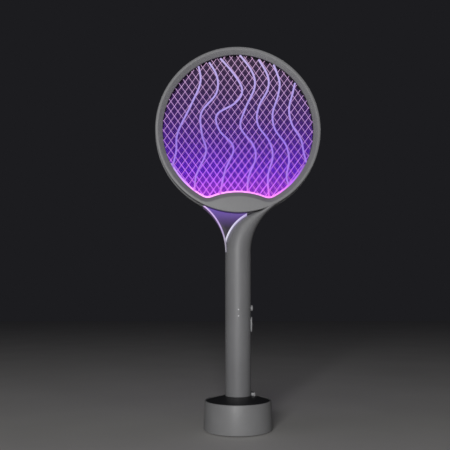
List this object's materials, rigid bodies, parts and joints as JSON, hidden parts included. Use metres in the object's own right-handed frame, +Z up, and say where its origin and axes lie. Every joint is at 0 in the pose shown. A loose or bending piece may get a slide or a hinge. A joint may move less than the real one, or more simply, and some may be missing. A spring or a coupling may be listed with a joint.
{
  "type": "electric fly swatter",
  "caption": "Electric fly swatter with a round lit grid head, a curved side arm, a straight cylindrical handle and a round charging dock.",
  "frame": {"origin": "centre of the dock at its lowest plane, where it stands", "axes": "+Z up along the handle, -Y towards the front of the head, +X towards the side with the trigger button and the mode slider"},
  "size_m": [0.211, 0.088, 0.4866],
  "materials": {
    "body_plastic": "fine moulded texture, satin",
    "dock_plastic": "fine moulded texture, satin",
    "dark_cover": "matt, near black",
    "pale_plastic": "satin",
    "black_plastic": "matt",
    "control_plastic": "satin",
    "rib_plastic": "translucent, lit violet from below",
    "guard_mesh": "thin coated mesh, lit violet from below",
    "grid_metal": "bright wire",
    "light_guide": "clear guide, lit magenta",
    "lamp_lens": "violet tinted clear plastic, lit from above",
    "light_strip": "milky strip, lit violet",
    "circuit_board": "solder resist over glass fibre laminate",
    "led_package": "small clear lamp",
    "light_pipe": "clear rod, unlit",
    "screw_steel": "zinc plated",
    "spring_steel": "drawn wire",
    "contact_steel": "nickel plated",
    "contact_brass": "gold plated",
    "lead_insulation": "soft insulation",
    "cell_can": "sleeved cell",
    "transformer_core": "taped winding on a core",
    "capacitor_case": "dipped case",
    "foot_rubber": "matt",
    "ballast_steel": "raw steel plate"
  },
  "bodies": {
    "dock": {"dock_shell": "dock_plastic", "dock_top_cover": "dark_cover", "dock_locating_lug": "pale_plastic", "dock_base_plate": "black_plastic", "dock_foot_ring": "foot_rubber", "dock_ballast": "ballast_steel", "dock_screws": "screw_steel", "dock_circuit_board": "circuit_board", "dock_usb_socket": "contact_steel", "pin_carrier": "black_plastic", "pin_springs": "spring_steel"},
    "charge_pins": {"charge_pins": "contact_brass"},
    "trigger_button": {"trigger_button": "body_plastic"},
    "mode_slider": {"mode_slider": "control_plastic"},
    "swatter": {"front_frame": "body_plastic", "rear_frame": "body_plastic", "front_ribs": "rib_plastic", "rear_clamp_ring": "black_plastic", "front_guard_mesh": "guard_mesh", "rear_guard_mesh": "guard_mesh", "front_spacer": "black_plastic", "rear_spacer": "black_plastic", "high_voltage_grid": "grid_metal", "light_guide": "light_guide", "head_led_board": "circuit_board", "head_uv_leds": "led_package", "head_screws": "screw_steel", "neck_front_shell": "body_plastic", "neck_rear_shell": "body_plastic", "neck_collar": "black_plastic", "neck_light_lens": "lamp_lens", "left_light_strip": "light_strip", "right_light_strip": "light_strip", "neck_led_board": "circuit_board", "high_voltage_leads": "lead_insulation", "handle_tube": "body_plastic", "handle_end_cap": "black_plastic", "contact_pads": "contact_brass", "battery_cell": "cell_can", "battery_contacts": "contact_steel", "main_board": "circuit_board", "transformer": "transformer_core", "storage_capacitor": "capacitor_case", "button_switch": "black_plastic", "slide_switch": "contact_steel", "switch_bezel": "body_plastic", "indicator_light_pipes": "light_pipe", "indicator_leds": "led_package"}
  },
  "joints": [
    {"name": "swatter_lift", "type": "slide", "parent": "dock", "child": "swatter", "axis": [0, 0, 1], "range_m": [0, 0.06]},
    {"name": "trigger_press", "type": "slide", "parent": "swatter", "child": "trigger_button", "axis": [-1, 0, 0], "range_m": [0, 0.0012], "stiffness_N_per_m": 800, "springref_m": -0.001},
    {"name": "mode_slide", "type": "slide", "parent": "swatter", "child": "mode_slider", "axis": [0, 0, 1], "range_m": [-0.003, 0.003]},
    {"name": "pin_press", "type": "slide", "parent": "dock", "child": "charge_pins", "axis": [0, 0, -1], "range_m": [0, 0.001], "stiffness_N_per_m": 300, "springref_m": -0.001, "deforming": ["pin_springs"]}
  ]
}
